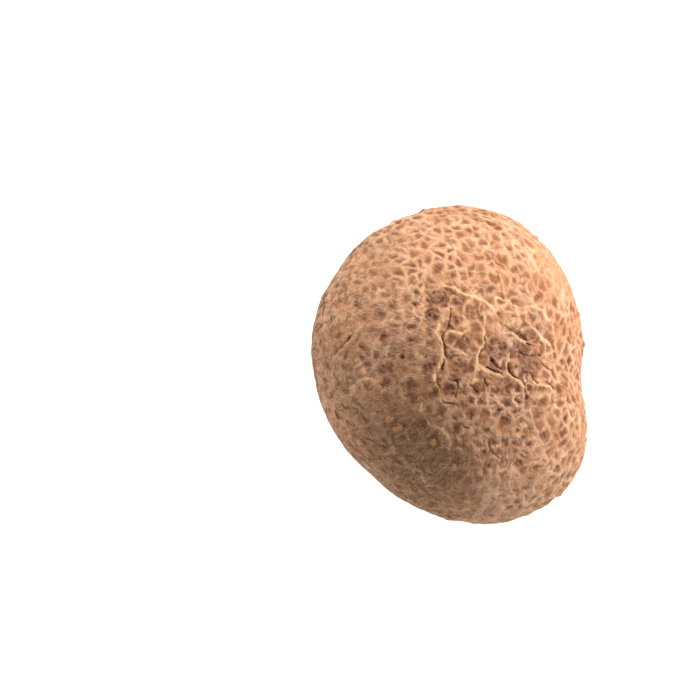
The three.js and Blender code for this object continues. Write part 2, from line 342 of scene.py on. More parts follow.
# Pale raised edges of the torn plates, with their widths; the plate is on the left of each line
raisedEdges = {
    "upperEdge": (1.5, [(500.5, 327), (501, 321), (499, 318), (495, 313), (492, 308), (488, 304.5), (484, 301),
                        (480, 298), (475, 297), (468, 294.5), (462, 292), (455, 288.5), (450, 286), (442, 285),
                        (438, 287), (430, 289)]),
    "upperBranch": (1.2, [(484, 305), (482, 309), (481, 315)]),
    "midEdge": (1.3, [(470, 329), (467, 332), (462, 333.5), (455, 332), (449, 331.5), (445, 333)]),
    "leftEdge": (1.6, [(445, 358), (443, 351), (441, 343), (439, 337), (437, 332), (438, 325)]),
    "leftFootEdge": (1.7, [(437, 386), (435, 381), (435, 375), (438, 371), (440, 366), (441, 359)]),
    "innerEdge": (2.0, [(470, 384), (475, 381), (475, 376), (477, 368), (477, 360), (478, 356), (480, 350),
                        (483.5, 345), (484, 338), (484, 331)]),
    "crossEdge": (1.3, [(448, 353), (456, 354), (466, 355), (476, 353)]),
    "lowerEdge": (1.8, [(525, 388), (524, 386), (520, 381), (515, 379), (510, 376), (502, 376), (494, 374),
                        (488, 371), (480, 366)]),
    "plateTop": (1.3, [(526, 342), (520, 339), (518, 336), (515, 333), (509, 332), (505, 331)]),
    "tanEdge": (1.5, [(529, 322), (526, 318), (525, 311), (522, 309), (517, 306), (510, 302), (504, 299), (497, 297)]),
    "roundEdge": (1.3, [(550, 344), (545, 341), (540, 336), (538, 330), (533, 326), (527, 327.5), (523, 330)]),
    "purpleEdge": (1.6, [(553, 335), (553, 326), (549, 320), (545, 317), (542, 311), (538, 307), (532, 306),
                         (525, 307)]),
    "innerVein": (1.1, [(507, 366), (509, 360), (510, 352)]),
    "outerEdge": (1.6, [(555, 406), (551, 399), (552, 390), (548, 386), (541, 384), (535, 382)]),
    "footEdge": (1.2, [(515, 404), (513, 398), (513, 391)]),
    "sweepEdge": (0.8, [(449, 447), (448, 437), (443, 431), (435, 427), (427, 422), (421, 414), (422, 404)]),
    "leftArc": (0.9, [(424, 331), (420, 324), (417, 316), (411, 310.5), (404, 309.5), (397, 313), (391, 319)]),
    "leftStreak": (0.8, [(353, 366), (363, 363), (373, 360), (383, 355), (392, 349)]),
    "upperArc": (1.0, [(422, 306), (424, 297), (422, 290), (424, 283)]),
    "backArc": (1.1, [(453, 246), (459, 251), (469, 253.5), (479, 251), (488, 246), (490, 240), (489, 234)]),
    "backStreak": (0.9, [(509, 236), (511, 247), (516, 261), (519, 272), (523, 282)]),
    "backEdge": (1.0, [(455, 269), (463, 272), (472, 271), (488, 272.5), (499, 275), (503, 283), (504.5, 293)]),
    "creaseLip": (0.8, [(352.5, 337), (348.5, 343), (344.5, 348.5), (337, 356)]),
}
warts = [(432, 443), (454, 467), (487.5, 471), (389, 420), (397, 430), (361, 372)]
# The darkest scales round the crown, with the reach of each in pixels
darkScales = [
    (394, 286, 3), (415, 292, 3.5), (412, 303, 5), (393, 306, 4.5), (380, 316, 4.5), (386, 297, 3), (416, 321, 3),
    (412, 329, 3.5), (382, 337, 5.5), (358, 333, 3), (391, 346, 4), (412, 342, 5.5), (430, 344, 3.5), (426, 354, 5),
    (427, 367, 6.5), (428, 381, 4.5), (410, 385, 5.5), (412, 398, 5.5), (434, 393, 5.5), (385, 385, 5), (401, 358, 2.5),
    (390, 367, 3.5), (362, 348, 2.5), (431, 326, 3.5), (436, 318, 3.5), (427, 313, 3), (431, 300, 3.5), (444, 306, 3.5),
    (448, 388, 6), (462, 392, 4), (476, 389, 4), (494, 392, 4.5), (508, 387, 4), (518, 388, 4), (518, 400, 4),
    (527, 406, 3.5), (516, 411, 4), (499, 410, 3), (506, 420, 4.5), (472, 415, 4.5), (441, 414, 6), (455, 430, 5),
    (485, 430, 5.5), (494, 441, 4), (504, 443, 4.5), (529, 427, 4), (545, 436, 4.5), (530, 444, 3.5), (522, 439, 3),
    (516, 431, 2.5), (516, 463, 4.5), (481, 455, 4), (463, 446, 4), (541, 388, 4.5), (559, 387, 3.5), (560, 404, 3.5),
    (574, 413, 3), (541, 404, 4.5), (506, 404, 5), (403, 426, 3), (424, 425, 5.5), (432, 436, 5.5), (456, 462, 6),
    (488, 466, 6), (462, 438, 3), (470, 400, 3.5), (485, 410, 3), (530, 390, 4),
]
specks = [(474, 266, 1.9), (448, 240, 1.8), (516.5, 366, 2), (494, 360, 2.2), (565.6, 418, 1.7), (500, 410, 1.6),
          (403, 437, 1.8), (485, 338, 1.2), (514, 316, 1), (520, 402, 2.2), (549, 409, 1.6), (484, 452, 1.9),
          (487, 431, 2.2), (521, 462, 1.8), (558, 466, 1.6), (455, 420, 1.8), (402, 357, 1.5), (383, 366, 1.4)]
purplePatches = [(533, 316, 6), (546, 330, 5), (519, 293, 9), (490, 290, 6), (509, 345, 13), (527, 362, 10),
                 (494, 358, 8)]
brownPlates = [(440, 297, 12), (459, 300, 8), (432, 315, 9), (472, 313, 9), (457, 320, 6), (463, 343, 9),
               (474, 337, 5), (460, 367, 10), (497, 347, 14), (522, 350, 10), (530, 365, 12), (506, 386, 12),
               (450, 390, 8), (430, 368, 9), (478, 388, 8), (531, 334, 7)]
bareFlesh = [(494, 328, 4), (509, 324, 5), (510, 318, 6), (476, 372, 3), (452, 310, 3), (465, 325, 4), (332, 355, 3)]
marginNibs = [(394, 220), (423, 210), (537, 236), (587, 403), (577, 315), (551, 507), (560, 497), (583, 345)]
shadedFlank = {"at": (428, 448), "reach": 62}  # pixels of the low left flank, whose skin is smoother and greyer and where painted shade darkens the colour
coarseFibrils = {"at": (505, 480), "reach": 45}  # pixels of the lighter ground at the lowest end of the cap
leftHollow = {"at": (405, 362), "reach": 28}  # pixels of the darker ground left of the torn plates
highlightFlank = {"at": (550, 268), "reach": 50}  # pixels of the upper right flank, where the scales are made paler and fainter as a painted highlight
netHeart = {"at": (476, 392), "reach": 78}  # pixels of the ground round the crown where the net is clearest
darkHeart = [(516, 382, 68), (396, 358, 52), (485, 440, 58)]  # pixels of the ground where the scales are darkest
marginScars = {"count": 420, "length": 1.6, "width": 0.32, "depth": 0.26, "seed": 5}


def capBall():
    deselectAll()
    bpy.ops.mesh.primitive_cube_add(size=2)
    ball = bpy.context.object
    ball.name = "cap"
    bpy.ops.object.mode_set(mode="EDIT")
    bpy.ops.mesh.select_all(action="SELECT")
    for cuts in capMesh["cuts"]:
        bpy.ops.mesh.subdivide(number_cuts=cuts)
    bpy.ops.object.mode_set(mode="OBJECT")
    points = np.tan(readPoints(ball.data) * math.pi / 4)  # so that the squares come out even on the ball
    writePoints(ball.data, points / np.linalg.norm(points, axis=1)[:, None])
    return ball


def meridianTable(steps=2400):
    share, height = catmullRom(capForm["meridian"], np.linspace(0, 1, steps + 1)).T
    knots = len(capForm["meridian"]) - 1
    meanRadius = np.mean(capForm["radii"])
    stepLength = np.hypot(np.diff(share) * meanRadius, np.diff(height))
    midShare = np.maximum((share[1:] + share[:-1]) / 2, 1e-4)
    along = np.cumsum(stepLength)
    latitude = np.cumsum(stepLength / (midShare * meanRadius))
    middle = np.searchsorted(np.arange(steps) / steps * knots, capForm["widest"])
    polar = 2 * np.arctan(np.exp(latitude - latitude[middle] + capMesh["finerOutside"]))
    polar = np.concatenate([[0], polar[:-1], [math.pi]])
    return {
        "polar": polar,
        "place": np.linspace(0, 1, len(polar)),
        "along": np.concatenate([[0], along]),
        "knots": knots,
    }


def nearestScales(chart, area, stray, seed):
    # distances to the net's nearest line and to the scale's middle, and two random numbers for each scale
    count = int(math.pi * skinReach**2 / area)
    order = np.arange(count) + 0.5
    golden = math.pi * (3 - math.sqrt(5))
    random = np.random.default_rng(seed)
    spread = np.sqrt(order * area / math.pi)
    sites = np.stack([spread * np.cos(order * golden), spread * np.sin(order * golden), order * 0], 1)
    sites[:, :2] += random.uniform(-1, 1, (count, 2)) * stray * math.sqrt(area)
    tree = kdtree.KDTree(count)
    for number, site in enumerate(sites):
        tree.insert(site, number)
    tree.balance()
    found = [tree.find_n((x, y, 0), 2) for x, y in chart]
    own, other = np.array([[near[1] for near in pair] for pair in found]).T
    toMiddle, toOther = np.array([[near[2] for near in pair] for pair in found]).T
    between = np.linalg.norm(sites[own] - sites[other], axis=1)
    toLine = (toOther**2 - toMiddle**2) / (2 * np.maximum(between, 0.3))
    return toLine, toMiddle, random.random(count)[own], random.random(count)[own]


def fromLine(pixels, line):  # distance to a line of pixels, and 1 on the left of it or -1 on its right
    best = np.full(len(pixels), 1e9)
    side = np.zeros(len(pixels))
    for start, end in zip(np.array(line[:-1], float), np.array(line[1:], float)):
        run = end - start
        part = np.clip(((pixels - start) @ run) / (run @ run), 0, 1)
        off = pixels - start - part[:, None] * run
        distance = np.linalg.norm(off, axis=1)
        closer = distance < best
        best = np.where(closer, distance, best)
        side = np.where(closer, np.sign(run[1] * off[:, 0] - run[0] * off[:, 1]), side)
    return best, side


def fromSpot(pixels, spot):
    return np.hypot(pixels[:, 0] - spot[0], pixels[:, 1] - spot[1])


cap = capBall()
table3 = meridianTable()
ballPoints = readPoints(cap.data)
polar = np.arccos(np.clip(ballPoints[:, 2], -1, 1))
angle = np.mod(np.arctan2(ballPoints[:, 1], ballPoints[:, 0]), 2 * math.pi)
place = np.interp(polar, table3["polar"], table3["place"])
along = np.interp(polar, table3["polar"], table3["along"])
knot = place * table3["knots"]
share, height = catmullRom(capForm["meridian"], place).T
smoothCap = capPoint(share, height, angle)
writePoints(cap.data, smoothCap)
outwards = readNormals(cap.data)
print("stage: cap drawn over its meridian, with", len(smoothCap), "points")

pixels = pixelsOf(placed(smoothCap))
turnedOut = outwards @ np.array(toWorld.to_3x3()).T
facing = smoothStep(turnedOut @ np.array(cameraBack), 0.02, 0.2) * (knot < capForm["widest"] + 1)
onSkin = 1 - smoothStep(knot, capForm["widest"] - 0.5, capForm["widest"] + 2)
under = smoothStep(knot, capForm["lipFoot"] - 1.6, capForm["lipFoot"])

ragged = pixels + np.stack([
    1.1 * roughField(pixels, 5.0, 31) + 0.8 * roughField(pixels, 2.2, 33),
    1.1 * roughField(pixels, 5.0, 32) + 0.8 * roughField(pixels, 2.2, 34),
], 1)

# The net is stretched away from the crown, because a scale grows with the skin
skinReach = along[onSkin > 0].max() + 2
chart = np.stack([np.cos(angle), np.sin(angle)], 1) * np.minimum(along, skinReach)[:, None]
wander = sum(
    reach * np.stack([roughField(chart, size, number + 1), roughField(chart, size, number + 11)], 1)
    for number, (size, reach) in enumerate(skinNet["wobbles"])
)
toLine, toMiddle, tone, size = nearestScales(chart + wander, *nets["scales"])
plainness = ((pixels[:, 0] - 400) - (pixels[:, 1] - 400)) / view["pixelsPerMm"]
netStrength = skinNet["plainSide"] + (1 - skinNet["plainSide"]) * smoothStep(plainness, -22, 16)
crisp = np.maximum(smoothStep(plainness, 2, 42), 0.8 * bump(fromSpot(pixels, netHeart["at"]), netHeart["reach"]))
flank = bump(fromSpot(pixels, shadedFlank["at"]), shadedFlank["reach"]) * onSkin
netStrength *= (0.95 + 0.3 * roughField(chart, 5.5, 3)) * (1 - 0.5 * flank)
netStrength = np.clip(netStrength, 0, 1.2) * onSkin
lineStrength = np.clip(0.4 + 0.25 * crisp + 0.7 * roughField(chart, 2.6, 4), 0, 1.1)
ridge = bump(toLine, skinNet["ridgeWidth"] * (1 + 0.5 * roughField(chart, 3.1, 5))) * lineStrength
least, most = skinNet["spotRadius"]
spotEdge = least + (most - least) * size + 0.3 * roughField(chart, 0.7, 6)
inside = np.minimum(toLine, skinNet["scaleRadius"] - toMiddle) + 0.25 * roughField(chart, 0.8, 9)
pit = (0.3 + 0.22 * crisp) * smoothStep(inside, 0.05, 0.8) * (0.55 + 0.45 * tone)
pit += 0.72 * (1 - smoothStep(toMiddle, spotEdge - 0.5, spotEdge + 0.5)) * (0.35 + 0.65 * size)
fineLine, fineMiddle, fineTone, fineSize = nearestScales(chart + 0.6 * wander, *nets["fine"])
finePit = (1 - smoothStep(fineMiddle, 0.1, 0.45 + 0.35 * fineSize)) * (0.35 + 0.65 * fineTone)
fineRidge = bump(fineLine, 0.2) * np.clip(0.4 + roughField(chart, 1.7, 7), 0, 1)
plate = np.zeros(len(pit))
for spot in brownPlates:
    plate = np.maximum(plate, 1 - smoothStep(fromSpot(pixels, spot) / spot[2], 0.6, 1.15))
plate *= facing
fineStrength = np.clip(0.1 + plate, 0, 1)
# Painted highlight: pits and ridges fade on the upper right, where the key light falls
paintedHighlight = bump(fromSpot(pixels, highlightFlank["at"]), highlightFlank["reach"])
pit *= 1 - 0.55 * paintedHighlight
ridge *= 1 - 0.35 * paintedHighlight
taken = np.zeros(len(pit))
darkest = np.zeros(len(pit))
rings = np.zeros(len(pit))
for spot in darkScales:
    distance = fromSpot(pixels + 1.9 * (ragged - pixels), spot) / spot[2]
    taken = np.maximum(taken, bump(distance, 1.9) * facing)
    darkest = np.maximum(darkest, (1 - smoothStep(distance, 0, 1.65)) * facing)
    rings = np.maximum(rings, bump((distance - 1.7) * spot[2], 1.3) * facing)
pit = np.clip(np.maximum(pit * (1 - 0.5 * plate) * (1 - 0.35 * taken), finePit * fineStrength), 0, 1)
pit = np.maximum(pit, darkest)
rings *= (1 - darkest) * np.clip(0.65 + 0.9 * roughField(chart, 1.9, 44), 0, 1.1)
ridge = np.maximum(ridge * (1 - 0.7 * darkest), rings)
ridge = np.maximum(ridge * (1 - 0.6 * plate), 0.5 * fineRidge * fineStrength)
veinLine, _, _, _ = nearestScales(chart + 2.2 * wander, *nets["veins"])
veins = bump(veinLine, 0.42) * np.clip(0.55 + 1.0 * roughField(chart, 6, 8), 0, 1.1) * (1 - plate)
ridge = np.maximum(ridge, veins)
relief = -0.08 * darkest + netStrength * (skinNet["ridgeHeight"] * ridge - skinNet["pitDepth"] * pit) * (0.7 + 0.3 * plate)
for number, (lumpSize, lumpHeight) in enumerate(skinLumps.values()):
    relief += lumpHeight * roughField(smoothCap, lumpSize, 20 + number) * (1 - 0.6 * under)

# On the smoother side the fibrils lie together in long low waves that run down from the crown
combed = np.stack([34 * np.cos(angle), 34 * np.sin(angle), along / 6], 1) + 0.8 * wander[:, [0, 1, 0]]
strands = bump(roughField(combed, 2.2, 51) + 0.3 * roughField(combed, 0.8, 52), 0.13)
strands *= np.clip(0.5 + 1.2 * roughField(combed, 3.0, 53), 0, 1) * onSkin * (1 - crisp)
strands *= 0.8 + 0.7 * bump(fromSpot(pixels, coarseFibrils["at"]), coarseFibrils["reach"])
relief += 0.12 * strands

relief += (0.3 * crisp + plate) * skinNet["grain"][1] * roughField(smoothCap, skinNet["grain"][0], 27) * facing

# Tears and raised edges of the crown, a little ragged
shadedCrack = np.zeros(len(relief))
torn = np.zeros(len(relief))
edgeRidge = np.zeros(len(relief))
for width, line in raisedEdges.values():
    distance, side = fromLine(ragged, line)
    ragging = 0.75 + 0.55 * roughField(ragged, 4.5, 36)
    torn = np.maximum(torn, bump(distance, width) * ragging * min(1, width / 1.3))
    edgeRidge = np.maximum(edgeRidge, bump(distance, width + 0.3) * ragging * width / 1.5)
    relief += 0.15 * width * side * smoothStep(distance, 0, 2.5) * bump(distance, 7) * facing
relief += 0.2 * edgeRidge * facing
for spot in bareFlesh:
    torn = np.maximum(torn, 0.3 * bump(fromSpot(ragged, spot), spot[2]))
    pit *= 1 - 0.8 * bump(fromSpot(ragged, spot), spot[2] + 2)
# Cracks are sunk and painted dark: painted shadow inside each crevice
for width, line in tears.values():
    distance, side = fromLine(pixels + 0.6 * (ragged - pixels), line)
    ragging = np.clip(0.8 + 0.5 * roughField(ragged, 6, 35), 0.2, 1.1)
    shadedCrack = np.maximum(shadedCrack, ragging * bump(distance, 0.8 * width))
    torn *= 1 - bump(distance, width)
relief -= 0.4 * shadedCrack * facing
shadedCrack = np.clip(shadedCrack * facing, 0, 1)
torn = np.clip(torn * facing, 0, 1)

wart = np.zeros(len(relief))
speck = np.zeros(len(relief))
purple = np.zeros(len(relief))
for spot in warts:
    distance = fromSpot(ragged, spot)
    wart = np.maximum(wart, bump(distance, 2.6) * facing)
    relief += 0.4 * bump(distance, 2.6) * facing - 0.15 * bump(distance - 5, 1.6) * facing
    pit = np.maximum(pit, 0.7 * bump(distance - 4.5, 1.8) * facing)
for spot in specks:
    distance = fromSpot(ragged, spot)
    speck = np.maximum(speck, bump(distance, spot[2]) * facing)
    relief -= 0.12 * spot[2] * bump(distance, spot[2]) * facing
for spot in purplePatches:
    purple = np.maximum(purple, bump(fromSpot(pixels, spot), spot[2] + 2) * facing * (0.4 + 0.6 * pit))
for spot in marginNibs:
    relief += 0.42 * bump(fromSpot(ragged, spot), 2.2) * (knot < capForm["widest"] + 1)

# Short scars that cross the grain near the margin, where the skin has folded under
scarRandom = np.random.default_rng(marginScars["seed"])
rim = float(np.interp(capForm["widest"] / table3["knots"], table3["place"], table3["along"]))
scarLip = np.zeros(len(relief))
for number in range(marginScars["count"]):
    scarAngle = scarRandom.uniform(0, 2 * math.pi)
    scarAlong = rim + 1 - 14 * scarRandom.uniform(0, 1) ** 1.6
    slant = scarRandom.uniform(-0.6, 0.6)
    length = marginScars["length"] * scarRandom.uniform(0.4, 1.4)
    turn = np.mod(angle - scarAngle + math.pi, 2 * math.pi) - math.pi
    across = turn * 34
    up = along - scarAlong - slant * across
    ends = bump(np.maximum(np.abs(across) - length / 2, 0), 0.25) * onSkin * scarRandom.uniform(0.2, 0.8)
    mark = ends * bump(up, marginScars["width"])
    scarLip = np.maximum(scarLip, ends * bump(up - 2.2 * marginScars["width"], marginScars["width"] * 1.3))
    relief -= marginScars["depth"] * mark
    speck = np.maximum(speck, 0.6 * mark)
relief += 0.15 * scarLip
torn = np.maximum(torn, 0.4 * scarLip)

finishedCap = placed(smoothCap + outwards * relief[:, None])
writePoints(cap.data, finishedCap)
heart = np.zeros(len(relief))
for spot in darkHeart:
    heart = np.maximum(heart, bump(fromSpot(pixels, spot), spot[2]) * facing)
heart *= 0.85 + 0.3 * roughField(chart, 4.5, 41)
# Painted shade: the left side, the low left flank and the darker ground left of the plates are greyed and darkened in
# the colour, over the greyer skin that lies there
greySkinAndShade = 0.35 * (1 - smoothStep(plainness, -26, 14)) + 0.9 * flank
greySkinAndShade += 0.5 * bump(fromSpot(pixels, leftHollow["at"]), leftHollow["reach"])
greySkinAndShade = np.clip(greySkinAndShade, 0, 1) * onSkin
paleness = 0.85 + 0.15 * np.clip(1.2 * crisp + plate, 0, 1)
writeAttribute(cap.data, "netMarks", [np.maximum(ridge * netStrength * paleness, 0.7 * strands), np.maximum(pit * netStrength, 0.9 * darkest), shadedCrack])
writeAttribute(cap.data, "tearMarks", [torn, wart, speck])
writeAttribute(cap.data, "zones", [plate, under, purple])
# Painted shade on the margin where it turns under, holding back the light that the table throws up
rimShade = smoothStep(knot, capForm["widest"] - 1.2, capForm["widest"] + 0.5)
writeAttribute(cap.data, "moreZones", [np.maximum(greySkinAndShade, 1.15 * rimShade * (1 - under)), heart, tone])
nearRim = smoothStep(along, rim - 17, rim - 6) * onSkin * (0.5 + 0.6 * roughField(chart, 7, 43)) * (1 - 0.5 * crisp)
writeAttribute(cap.data, "marginMarks", [np.clip(nearRim + 0.35 * flank, 0, 1), 1 - crisp, darkest])
writeAttribute(cap.data, "grain", [
    34 * np.cos(angle) + 1.5 * wander[:, 0], 34 * np.sin(angle) + 1.5 * wander[:, 1], along / 4.5])
cap.data.shade_smooth()
print("stage: skin worked")


# --- gills: one blade modelled flat, then copied round the stem in three lengths

gillForm = {
    "rows": [0.19, 0.31, 0.48, 0.65, 0.79, 0.91],  # shares of the radius
    "edges": [10.8, 8.9, 7.3, 5.5, 3.8, 2.6],
    "roots": [14.1, 13.3, 11.9, 9.8, 7.3, 4.6],
    "families": [(76, 0.17, 0, 1.0), (76, 0.42, 0.5, 0.92), (152, 0.66, 0.25, 0.8)],  # count, start, turn, depth
    "end": 0.905,
    "rootThickness": 0.4,
    "edgeThickness": 0.18,
    "wave": 0.32,
    "seed": 8,
}


def gillBlade():
    deselectAll()
    bpy.ops.mesh.primitive_grid_add(x_subdivisions=8, y_subdivisions=2, size=2)
    blade = bpy.context.object
    bpy.ops.object.mode_set(mode="EDIT")
    bpy.ops.mesh.select_all(action="SELECT")
    bpy.ops.mesh.extrude_region_move(TRANSFORM_OT_translate={"value": (0, 0, 1)})
    bpy.ops.mesh.select_all(action="SELECT")
    bpy.ops.mesh.normals_make_consistent(inside=False)
    bpy.ops.object.mode_set(mode="OBJECT")
    return blade


def gillsPiece():
    blade = gillBlade()
    flat = readPoints(blade.data)
    run, fall, side = (flat[:, 0] + 1) / 2, (flat[:, 1] + 1) / 2, flat[:, 2] - 0.5
    random = np.random.default_rng(gillForm["seed"])
    copies = []
    for count, begin, turn, depth in gillForm["families"]:
        for number in range(count):
            base = 2 * math.pi * (number + turn) / count + random.uniform(-0.1, 0.1) * 2 * math.pi / count
            first = begin + random.uniform(-0.03, 0.05) * (begin > 0.2)
            bladeShare = first + (gillForm["end"] - first) * run
            rootHeight = np.interp(bladeShare, gillForm["rows"], gillForm["roots"])
            edgeHeight = np.interp(bladeShare, gillForm["rows"], gillForm["edges"])
            grown = smoothStep(run, -0.02, 0.3) if begin > 0.2 else np.ones(len(run))
            nick = 0.14 * roughField(np.stack([run * 30, run * 0 + number * 9.7], 1), 1.3, 60 + int(begin * 9))
            deep = (rootHeight - edgeHeight) * grown * depth + nick
            bladeHeight = rootHeight + 0.7 - fall * (deep + 0.7)
            phase = random.uniform(0, 2 * math.pi)
            sway = gillForm["wave"] * (0.4 + fall) * np.sin(7 * run + phase) * bladeShare
            thickness = gillForm["rootThickness"] + (gillForm["edgeThickness"] - gillForm["rootThickness"]) * fall
            offset = (side * thickness + sway) / (34 * bladeShare)
            copy = bpy.data.objects.new("blade", blade.data.copy())
            writePoints(copy.data, placed(capPoint(bladeShare, bladeHeight, base + offset)))
            writeAttribute(copy.data, "bladeMarks", [fall, bladeShare, np.full(len(run), random.random())])
            bpy.context.scene.collection.objects.link(copy)
            copies.append(copy)
    bpy.data.objects.remove(blade)
    deselectAll()
    for copy in copies:
        copy.select_set(True)
    bpy.context.view_layer.objects.active = copies[0]
    bpy.ops.object.join()
    gills = bpy.context.object
    gills.name = "gills"
    bpy.ops.object.mode_set(mode="EDIT")
    bpy.ops.mesh.select_all(action="SELECT")
    bpy.ops.mesh.normals_make_consistent(inside=False)
    bpy.ops.object.mode_set(mode="OBJECT")
    bpy.ops.object.shade_smooth_by_angle(angle=math.radians(40))
    return gills


gills = gillsPiece()
print("stage: gills hung,", len(gills.data.polygons), "faces")


# --- stem: a cylinder drawn along its bent centre line

stemForm = {
    "line": [(-1.2, -2.2, 17), (-1.6, -2, 8), (-3.8, -1.4, -2.5), (-7.8, -0.6, -13.6)],
    "radii": [8.6, 6.9, 5.9, 5.6, 5.7, 6.2],
    "sides": 160,
    "cuts": 100,
    "grooves": 7,
    "grooveDepth": 0.035,
    "fibreHeight": 0.1,
}


def stemPiece():
    deselectAll()
    bpy.ops.mesh.primitive_cylinder_add(vertices=stemForm["sides"], radius=1, depth=2, end_fill_type="NGON")
    stem = bpy.context.object
    stem.name = "stem"
    bpy.ops.object.mode_set(mode="EDIT")
    bpy.ops.mesh.select_mode(type="FACE")
    bpy.ops.mesh.select_all(action="DESELECT")
    bpy.ops.object.mode_set(mode="OBJECT")
    for face in stem.data.polygons:
        face.select = abs(face.normal.z) > 0.9
    bpy.ops.object.mode_set(mode="EDIT")
    for part in (0.02, 0.1, 0.16, 0.2, 0.2, 0.14):  # rings over the two ends
        bpy.ops.mesh.inset(thickness=part)
    bpy.ops.mesh.poke()
    bpy.ops.mesh.select_mode(type="EDGE")
    bpy.ops.mesh.select_all(action="DESELECT")
    bpy.ops.object.mode_set(mode="OBJECT")
    heights = readPoints(stem.data)[:, 2]
    for edge in stem.data.edges:
        edge.select = abs(heights[edge.vertices[0]] - heights[edge.vertices[1]]) > 1
    bpy.ops.object.mode_set(mode="EDIT")
    bpy.ops.mesh.subdivide(number_cuts=stemForm["cuts"])
    bpy.ops.object.mode_set(mode="OBJECT")

    points = readPoints(stem.data)
    part = (1 - points[:, 2]) / 2
    out = np.hypot(points[:, 0], points[:, 1])
    turn = np.arctan2(points[:, 1], points[:, 0])
    line = catmullRom(stemForm["line"], part)
    ahead = catmullRom(stemForm["line"], part + 1e-4) - catmullRom(stemForm["line"], part - 1e-4)
    ahead /= np.linalg.norm(ahead, axis=1)[:, None]
    across = np.cross(ahead, [0, 1, 0])
    across /= np.linalg.norm(across, axis=1)[:, None]
    beside = np.cross(across, ahead)
    girth = catmullRom(np.array(stemForm["radii"])[:, None], part)[:, 0]
    grooves = np.sin(stemForm["grooves"] * turn + 1.6 * np.sin(2.1 * part)) + 0.5 * np.sin(3 * turn + 4 * part)
    fibre = roughField(np.stack([6 * np.cos(turn), 6 * np.sin(turn), part * 3], 1), 0.55, 70)
    lump = roughField(np.stack([6 * np.cos(turn), 6 * np.sin(turn), part * 30], 1), 3.5, 71)
    skin = stemForm["fibreHeight"] * (fibre + 1.8 * lump) * (out > 0.5)
    reach = out * (girth * (1 + stemForm["grooveDepth"] * grooves) + skin)
    centre = line + across * (reach * np.cos(turn))[:, None] + beside * (reach * np.sin(turn))[:, None]
    isCut = (part > 0.999) & (out < 0.99)
    rough = roughField(np.stack([points[:, 0] * 6, points[:, 1] * 6], 1), 0.9, 72)
    centre -= ahead * ((0.18 + 0.14 * rough) * isCut)[:, None]
    writePoints(stem.data, placed(centre))
    writeAttribute(stem.data, "stemMarks", [part, out, isCut.astype(float)])
    writeAttribute(stem.data, "stemGrain", [6 * np.cos(turn), 6 * np.sin(turn), part * 31 / 6])
    deselectAll()
    stem.select_set(True)
    bpy.context.view_layer.objects.active = stem
    bpy.ops.object.shade_smooth_by_angle(angle=math.radians(50))
    return stem


stem = stemPiece()
print("stage: stem drawn,", len(stem.data.polygons), "faces")


# --- materials

skinColours = {
    "mid": "B47B50",
    "light": "C8926A",
    "net": "F3CCB0",
    "pit": "7D482C",
    "crownPit": "57362A",
    "heartPit": "4A2B21",
    "plate": "8E5A3A",
    "purple": "6E5252",
    "shadedCrack": "42261A",
    "torn": "F2CCA4",
    "wart": "D49A6A",
    "speck": "34221A",
    # grey-brown of the smoother skin and of painted shade on the left and low sides
    "greyAndShade": "725638",
    "flesh": "F0E3C8",
}


def perMetre(size):  # a pattern's scale from the size of its features in millimetres
    return 1000 / size


